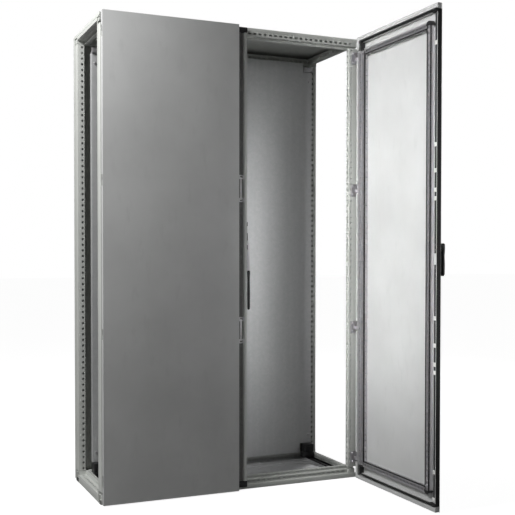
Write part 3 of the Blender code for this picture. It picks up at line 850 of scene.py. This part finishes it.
    def make_tube_caps(self, back):
        """Black caps on the uprights' ends, with an arched top on the lock side."""
        caps = bmesh.new()
        for tube in (FREE_TUBE, HINGE_TUBE):
            middle = (sum(tube) / 2) * self.side
            for z, outward in ((TUBE_LOW, -1), (TUBE_HIGH, 1)):
                for half, start, height in ((0.0118, -0.0005, 0.0035), (0.0102, -0.006, 0.006)):
                    low = (middle - half, back + 0.0006, z + outward * start)
                    high = (middle + half, TUBE_FACE + 0.0012, z + outward * (start + height))
                    block(caps, low, high, 0.0018)
        arch = [(0.0165 * math.cos(math.pi * k / 12), math.sin(math.pi * k / 12)) for k in range(13)]
        middle = self.x(FREE_TUBE[0] + 0.0105)
        for z, rise in ((TUBE_HIGH - 0.013, 0.0175), (TUBE_LOW + 0.012, -0.0135)):
            outline = [(middle + across, z + rise * up) for across, up in arch]
            slab(caps, outline, back + 0.001, TUBE_FACE + 0.0016)
        finish_piece(f"{self.word}_door_tube_caps", caps, self.body, "black_plastic")

    def make_tube_shade_strips(self):
        """Black rubber strips along the tubes' edges and across the cross tubes: painted shade, dark lines
        where the tubes' shadow lines fall.
        """
        shade_strips = bmesh.new()
        back = TUBE_FACE - 0.006
        # painted shade: thin black strips beside the uprights stand in for the shadow lines at the tubes'
        # edges
        for near, far in (
            (FREE_TUBE[0], FREE_TUBE[0] + 0.0016),
            (FREE_TUBE[1] - 0.0036, FREE_TUBE[1] + 0.0008),
            (HINGE_TUBE[1] - 0.0008, HINGE_TUBE[1] + 0.0036),
        ):
            low = (self.x(near), back, TUBE_LOW + 0.010)
            block(shade_strips, low, (self.x(far), TUBE_FACE + 0.0004, TUBE_HIGH - 0.010), 0.0008)
        # painted shade: black strips across the cross tubes darken them as if they were in shade
        for z, step in ((TUBE_LOW + 0.025, -1), (TUBE_HIGH - 0.025, 1)):
            low = (self.x(FREE_TUBE[1]), back, z - step * 0.0006)
            block(shade_strips, low, (self.x(HINGE_TUBE[1]), TUBE_FACE + 0.0003, z + step * 0.0040), 0.0008)
        finish_piece(f"{self.word}_door_tube_shade_strips", shade_strips, self.body, "black_rubber")

    def make_tube_fixings(self):
        """Screws at the tube corners, weld studs beside the uprights."""
        screws = bmesh.new()
        for tube in (FREE_TUBE, HINGE_TUBE):
            for z in (TUBE_LOW + 0.030, TUBE_HIGH - 0.030):
                screw(screws, (self.x(sum(tube) / 2), TUBE_FACE, z), (0, 1, 0), 0.0052, 0.0026)
        finish_piece(f"{self.word}_door_tube_screws", screws, self.body, "zinc_steel")
        studs = bmesh.new()
        dome = [(0, 0), (0.0034, 0), (0.0030, 0.0012), (0, 0.0016)]
        for k in range(18):
            for x in (HINGE_TUBE[1] - 0.0055, FREE_TUBE[1] + 0.0055):
                turned(studs, dome, (self.x(x), DOOR_SKIN, 0.15 + 0.1 * k), (0, 1, 0), 12)
        finish_piece(f"{self.word}_door_weld_studs", studs, self.body, "door_paint")

    def make_hinges(self):
        """Brackets with a pin on the posts, and rounded knuckles on the door."""
        s = self.side
        pin_x, pin_y = s * PIN.x, PIN.y
        post = -POST_FACE - 0.0003
        pin = [(0, 0), (0.0021, 0), (0.0025, 0.0006), (0.0025, 0.0355), (0.0019, 0.0368), (0, 0.037)]
        fixings = bmesh.new()
        for number, height in enumerate(HINGE_HEIGHTS, 1):
            bm = bmesh.new()
            slab(bm, capsule((s * 0.577, height), 0.0148, 0.0278, 7.0), post - 0.003, post)
            low = (s * 0.5855, pin_y, height - 0.0118)
            block(bm, low, (s * 0.5920, post - 0.001, height + 0.0058), 0.0016)
            turned(bm, pin, (pin_x, pin_y, height - 0.011), (0, 0, 1), 16)
            stand_in(f"{self.word}_hinge_bracket_{number}", "plate", bm, "frame", "zinc_steel", edge=0.0005)
            for z in (height - 0.019, height + 0.019):
                screw(fixings, (s * 0.574, post - 0.003, z), (0, -1, 0), 0.0058, 0.0028)
            knuckle = bmesh.new()
            outline = capsule((s * 0.59075, -0.23985), 0.0071, 0.0075, 4.5, 24)
            slab(knuckle, outline, height + 0.0072, height + 0.0248, "Z")
            bore = bmesh.new()
            drill(bore, (pin_x, pin_y, height - 0.02), (0, 0, 1), 0.003, 0.06, 16)
            name = f"{self.word}_hinge_knuckle_{number}"
            stand_in(name, "block", knuckle, self.body, "zinc_steel", cuts=bore, edge=0.0004)
        finish_piece(f"{self.word}_hinge_screws", fixings, "frame", "zinc_steel")


def rod_piece(word, part, place, low, high):
    """Flat lock rod with rounded edges and a row of slots at its inner end. place is (x, y)."""
    x, y = place
    bm = bmesh.new()
    block(bm, (x - 0.006, y, low), (x + 0.006, y + 0.003, high), 0.0007)
    cuts = bmesh.new()
    inner, outward = (low, 1) if part == "upper" else (high, -1)
    for k in range(3):
        z = inner + outward * (0.014 + 0.020 * k)
        slab(cuts, capsule((x, z), 0.0024, 0.0065, 3.0, 16), y - 0.001, y + 0.004)
    node, body = f"{word}_door_{part}_rod", f"{word}_{part}_rod"
    stand_in(node, "bar", bm, body, "zinc_steel", material=DARK_ZINC, cuts=cuts)


def make_left_door():
    """Shut door with the centre strip that the right door overlaps, the inner lever and rods."""
    door = Door("left", -1)
    door.make_skin(0.0, 0.016)
    door.make_gasket(0.020, 0.033)
    door.make_tube_frame()
    door.make_hinges()
    make_centre_strip()
    make_strip_keepers()
    make_left_lock()


def make_centre_strip():
    """Grooved strip down the left door's free edge, with a grey rubber sealing bead in the groove, a grey
    sheet over the groove's floor as painted shade, and end caps.
    """
    low, high = 0.0396, 1.9684
    back = -0.2125
    groove = STRIP + 0.0090
    outline = (
        (-0.036, STRIP + 0.0016),
        (-0.0345, STRIP),
        (0.0020, STRIP),
        (0.0038, STRIP + 0.0016),
        (0.0042, groove - 0.0014),
        (0.0060, groove),
        (0.0290, groove),
        (0.0308, groove - 0.0014),
        (0.0312, STRIP + 0.0016),
        (0.0330, STRIP),
        (0.0434, STRIP),
        (0.0450, STRIP + 0.0016),
        (0.0450, back - 0.0014),
        (0.0436, back),
        (-0.0345, back),
        (-0.036, back - 0.0014),
    )
    bm = bmesh.new()
    slab(bm, outline, low, high, "Z")
    stand_in("centre_strip", "profile", bm, "left_door", "frame_paint")

    seal_and_groove_shade = bmesh.new()
    block(seal_and_groove_shade, (0.0068, STRIP + 0.0030, low), (0.0135, groove + 0.0002, high), 0.0022, 3)
    # painted shade: a thin grey sheet across the groove's floor darkens the groove where its shade falls
    block(seal_and_groove_shade, (0.0068, groove - 0.0012, low), (0.0288, groove + 0.0004, high), 0.0006)
    finish_piece("centre_strip_seal_and_groove_shade", seal_and_groove_shade, "left_door", "black_rubber", material=GREY_RUBBER_AND_GROOVE_SHADE)

    for word, (cap_low, cap_high) in (("bottom", (0.0122, 0.0388)), ("top", (1.9692, 1.9918))):
        cap = bmesh.new()
        block(cap, (-0.0018, STRIP + 0.0002, cap_low), (0.0478, back - 0.0005, cap_high), 0.0035, 3)
        middle = (cap_low + cap_high) / 2
        block(cap, (0.006, STRIP, middle - 0.007), (0.030, STRIP + 0.003, middle + 0.007), 0.0014)
        stand_in(f"centre_strip_cap_{word}", "moulding", cap, "left_door", "black_plastic")


def make_strip_keepers():
    """Keepers in the centre strip's groove: pairs of square loops with a bar between them."""
    keepers = bmesh.new()
    fixings = bmesh.new()
    near = STRIP + 0.0006
    pairs = ((0.646, 0.741), (1.253, 1.351))
    for z in (*pairs[0], *pairs[1]):
        low, high = z - 0.009, z + 0.009
        block(keepers, (0.0050, near, low), (0.0125, STRIP + 0.0088, high), 0.0016)
        block(keepers, (0.0050, near, low), (0.0325, STRIP + 0.0030, z - 0.0045), 0.0010)
        block(keepers, (0.0050, near, z + 0.0045), (0.0325, STRIP + 0.0030, high), 0.0010)
        block(keepers, (0.0255, near, low), (0.0330, STRIP + 0.0088, high), 0.0016)
    for low, high in pairs:
        block(keepers, (0.0150, STRIP + 0.0058, low), (0.0235, STRIP + 0.0086, high), 0.0012)
        for z in (low + 0.024, high - 0.024):
            screw(fixings, (0.0192, STRIP + 0.0058, z), (0, -1, 0), 0.0038, 0.0024)
    finish_piece("centre_strip_keepers", keepers, "left_door", "zinc_steel")
    for z in (0.16, 0.42, 0.90, 1.12, 1.58, 1.84):
        screw(fixings, (0.0385, STRIP, z), (0, -1, 0), 0.0034, 0.0014)
    finish_piece("centre_strip_screws", fixings, "left_door", "zinc_steel")


def make_left_lock():
    """Lock case, follower, inner lever, and the two rods in their guides."""
    case = bmesh.new()
    block(case, (0.0045, -0.2119, 0.9305), (0.0655, -0.1965, 1.0695), 0.0025)
    block(case, (0.0120, -0.2000, 0.9420), (0.0580, -0.1962, 1.0580), 0.0015)
    for z in (0.950, 1.050):
        screw(case, (0.0350, -0.1962, z), (0, 1, 0), 0.0052)
    stand_in("left_lock_case", "housing", case, "left_door", "zinc_steel")

    follower = bmesh.new()
    for z, tall in ((1.050, 0.010), (1.095, 0.016), (1.150, 0.009)):
        block(follower, (0.0452, -0.2210, z - tall), (0.0505, -0.2130, z + tall), 0.0015)
    block(follower, (0.0452, -0.2190, 0.960), (0.0484, -0.2150, 1.160), 0.0010)
    finish_piece("left_lock_follower", follower, "left_door", "black_plastic")

    lever = bmesh.new()
    sections = (
        (0.7810, 0.0022, 0.0020),
        (0.7835, 0.0048, 0.0034),
        (0.7950, 0.0060, 0.0042),
        (0.8500, 0.0062, 0.0045),
        (0.9050, 0.0052, 0.0040),
        (0.9300, 0.0060, 0.0042),
        (0.9450, 0.0066, 0.0044),
        (0.9500, 0.0045, 0.0036),
    )
    loft(lever, (0.056, -0.2177), sections, 3.4, 20)
    stand_in("inner_lever", "handle", lever, "inner_lever", "black_plastic")

    guides = bmesh.new()
    for z in (0.30, 0.62, 0.86, 1.14, 1.38, 1.70):
        block(guides, (0.009, -0.2120, z - 0.008), (0.031, -0.2060, z + 0.008), 0.002)
    channel = bmesh.new()
    block(channel, (0.0138, -0.2125, 0.05), (0.0262, -0.2089, 1.95))
    finish_piece(
        "left_rod_guides", guides, "left_door", "black_plastic", material=WHITE_PLASTIC, cuts=channel
    )
    rod_piece("left", "upper", (0.020, -0.2122), 1.092, 1.9454)
    rod_piece("left", "lower", (0.020, -0.2122), 0.0563, 0.908)


def make_handle():
    """Turning lever handle: moulded base, hub with a spindle, folding lever."""
    base = bmesh.new()
    sections = (
        (-0.2504, 0.0168, 0.0752),
        (-0.2556, 0.0168, 0.0752),
        (-0.2559, 0.0152, 0.0736),
        (-0.2582, 0.0152, 0.0736),
    )
    loft(base, (HANDLE_X, 1.0015), sections, 6.0, 48, "Y")
    bore = bmesh.new()
    drill(bore, (HANDLE_X, -0.27, HANDLE_Z), (0, 1, 0), 0.007, 0.03, 24)
    stand_in("handle_base", "plate", base, "right_door", "black_plastic", cuts=bore, edge=0.0008)

    hub = bmesh.new()
    disc = [(0, 0), (0.0128, 0), (0.0150, -0.0018), (0.0154, -0.0040), (0.0154, -0.0100)]
    disc += [(0.0140, -0.0118), (0, -0.0118)]
    turned(hub, disc, (HANDLE_X, -0.2587, HANDLE_Z), (0, 1, 0), 32)
    low = (HANDLE_X - 0.004, -0.2592, HANDLE_Z - 0.004)
    block(hub, low, (HANDLE_X + 0.004, -0.2422, HANDLE_Z + 0.004), 0.0006)
    stand_in("handle_hub", "disc", hub, "handle_hub", "black_plastic")

    lever = bmesh.new()
    sections = (
        (0.9325, 0.0050, 0.0025),
        (0.9345, 0.0088, 0.0042),
        (0.9420, 0.0108, 0.0054),
        (0.9800, 0.0112, 0.0058),
        (1.0150, 0.0096, 0.0052),
        (1.0280, 0.0112, 0.0056),
        (1.0420, 0.0119, 0.0058),
        (1.0560, 0.0116, 0.0056),
        (1.0605, 0.0090, 0.0044),
        (1.0617, 0.0052, 0.0028),
    )
    loft(lever, (HANDLE_X, -0.2769), sections, 3.0, 28)
    stand_in("handle_lever", "grip", lever, "handle_lever", "black_plastic")


def make_right_door():
    """Open door with the handle, the flange on its hinge side, lock case and rods."""
    door = Door("right", 1)
    door.make_skin(0.004, 0.002)
    door.make_gasket(0.0003, 0.0037, flat_free=True)
    door.make_tube_frame()
    door.make_hinges()
    make_handle()

    flange = bmesh.new()
    corners = ((0, 0), (25.5, 0), (25.5, 12))
    holes = {0: (19.0, 2.4, 3.4, 2.4)}
    start, up = (0.5785, -0.2262, 0.075), (0, 0, 1.85)
    rolled(flange, corners, start, (-1, 0, 0), (0, -1, 0), up, holes, closed=False, bend=0.0012)
    finish_piece("right_door_hinge_flange", flange, "right_door", "zinc_steel", wall=0.0012)
    make_right_lock()


def make_right_lock():
    """Lock case, and the two rods in white guides."""
    case = bmesh.new()
    block(case, (0.0208, -0.2475, 0.9402), (0.0458, -0.2345, 1.0798), 0.0022)
    block(case, (0.0240, -0.2355, 0.9520), (0.0430, -0.2339, 1.0680), 0.0007)
    bore = bmesh.new()
    drill(bore, (HANDLE_X, -0.26, HANDLE_Z), (0, 1, 0), 0.007, 0.04, 24)
    stand_in("right_lock_case", "housing", case, "right_door", "zinc_steel", cuts=bore)

    fixings = bmesh.new()
    for z in (1.0740, 0.9460):
        screw(fixings, (0.0350, -0.2345, z), (0, 1, 0), 0.0038, 0.0030)
    finish_piece("right_lock_case_screws", fixings, "right_door", "zinc_steel")

    guides = bmesh.new()
    for z in (0.054, 0.163, 0.554, 0.586, 0.661, 0.768, 1.237, 1.270, 1.346, 1.447, 1.842):
        block(guides, (0.0062, -0.2362, z - 0.0085), (0.0235, -0.2290, z + 0.0085), 0.0018)
    channel = bmesh.new()
    block(channel, (0.0078, -0.2337, 0.02), (0.0202, -0.2303, 1.98))
    finish_piece("right_rod_guides", guides, "right_door", None, material=WHITE_PLASTIC, cuts=channel)
    rod_piece("right", "upper", (0.014, -0.2335), 1.022, 1.955)
    rod_piece("right", "lower", (0.014, -0.2335), 0.045, 0.978)


# ---- scene ----------------------------------------------------------------------------
def make_stage():
    """Pale floor with a faint glow of its own, so that it meets the white surroundings softly."""
    bm = bmesh.new()
    reach = 40.0
    bm.faces.new(rect_z(bm, (-reach, reach, -reach, reach), 0.0, -0.0015))
    floor = bpy.data.objects.new("studio_floor", mesh_of(bm, "studio_floor"))
    bpy.context.scene.collection.objects.link(floor)
    finish = Finish("studio_floor")
    cloud = finish.noise(1.4, 2.0)
    finish.colour(finish.blend(cloud, (0.28, 0.28, 0.28), (0.30, 0.30, 0.30)))
    finish.roughness(finish.spread(cloud, 0.75, 0.85))
    glow = finish.node("ShaderNodeEmission")
    path = finish.node("ShaderNodeLightPath")
    strength = finish.spread(path.outputs["Is Camera Ray"], 0.0, 0.93)
    finish.link(strength, glow.inputs["Strength"])
    total = finish.node("ShaderNodeAddShader")
    finish.link(finish.shader.outputs["BSDF"], total.inputs[0])
    finish.link(glow.outputs["Emission"], total.inputs[1])
    finish.link(total.outputs["Shader"], finish.tree.nodes["Material Output"].inputs["Surface"])
    floor.data.materials.append(finish.material)


def make_world(ambient):
    """White surroundings to the eye, and a softer ambient light from them."""
    world = bpy.data.worlds.new("studio")
    bpy.context.scene.world = world
    world.use_nodes = True
    tree = world.node_tree
    back = tree.nodes["Background"]
    back.inputs["Color"].default_value = (1.0, 1.0, 1.0, 1.0)
    path = tree.nodes.new("ShaderNodeLightPath")
    level = tree.nodes.new("ShaderNodeMapRange")
    level.inputs["To Min"].default_value = ambient
    level.inputs["To Max"].default_value = 1.0
    tree.links.new(path.outputs["Is Camera Ray"], level.inputs["Value"])
    tree.links.new(level.outputs["Result"], back.inputs["Strength"])


def area_light(name, place, target, width, height, power, spread=180):
    """Adds a rectangular light aimed at a target. spread is its beam's angle in degrees."""
    data = bpy.data.lights.new(name, "AREA")
    data.shape = "RECTANGLE"
    data.size = width
    data.size_y = height
    data.energy = power
    data.spread = math.radians(spread)
    lamp = bpy.data.objects.new(name, data)
    lamp.location = place
    aim = Vector(target) - Vector(place)
    lamp.rotation_euler = aim.to_track_quat("-Z", "Y").to_euler()
    bpy.context.scene.collection.objects.link(lamp)


def make_lights():
    """High key light from the left, narrow ones along the open door and through the doorway."""
    area_light("key_light", (-2.20, -0.66, 3.00), (-0.3, -0.1, 1.2), 0.8, 0.8, 84)
    area_light("door_light", (-1.4, -2.1, 1.25), (0.58, -0.48, 1.15), 0.3, 1.5, 3.0, spread=25)
    area_light("doorway_light", (1.35, -3.4, 1.1), (0.38, 0.12, 1.0), 0.6, 1.2, 0.42, spread=20)
    area_light("fill_light", (0.7, -4.2, 1.5), (0.3, 0.1, 1.0), 0.8, 1.2, 0.5)
    area_light("rear_light", (3.4, 3.2, 2.6), (0.0, 0.1, 1.0), 1.5, 1.5, 22)


def make_camera():
    """Camera a little over mid height, in front and to the left, with a slight shift."""
    data = bpy.data.cameras.new("camera")
    data.lens = 60.783
    data.sensor_width = 36.0
    data.shift_x = 0.07768
    data.shift_y = 0.03691
    camera = bpy.data.objects.new("camera", data)
    camera.location = (-1.50078, -3.63944, 1.00430)
    camera.rotation_euler = (math.radians(90 - 1.2221), 0.0003, math.radians(-22.4125))
    bpy.context.scene.collection.objects.link(camera)
    bpy.context.scene.camera = camera


make_posts()
make_rear_flanges()
make_cross_rails()
make_side_rails()
make_corners()
make_floor()
make_roof()
make_rear_panel()
make_mounting_plate()
make_left_door()
make_right_door()
make_stage()
make_world(0.135)
make_lights()
make_camera()
bpy.context.scene.view_settings.view_transform = "Standard"
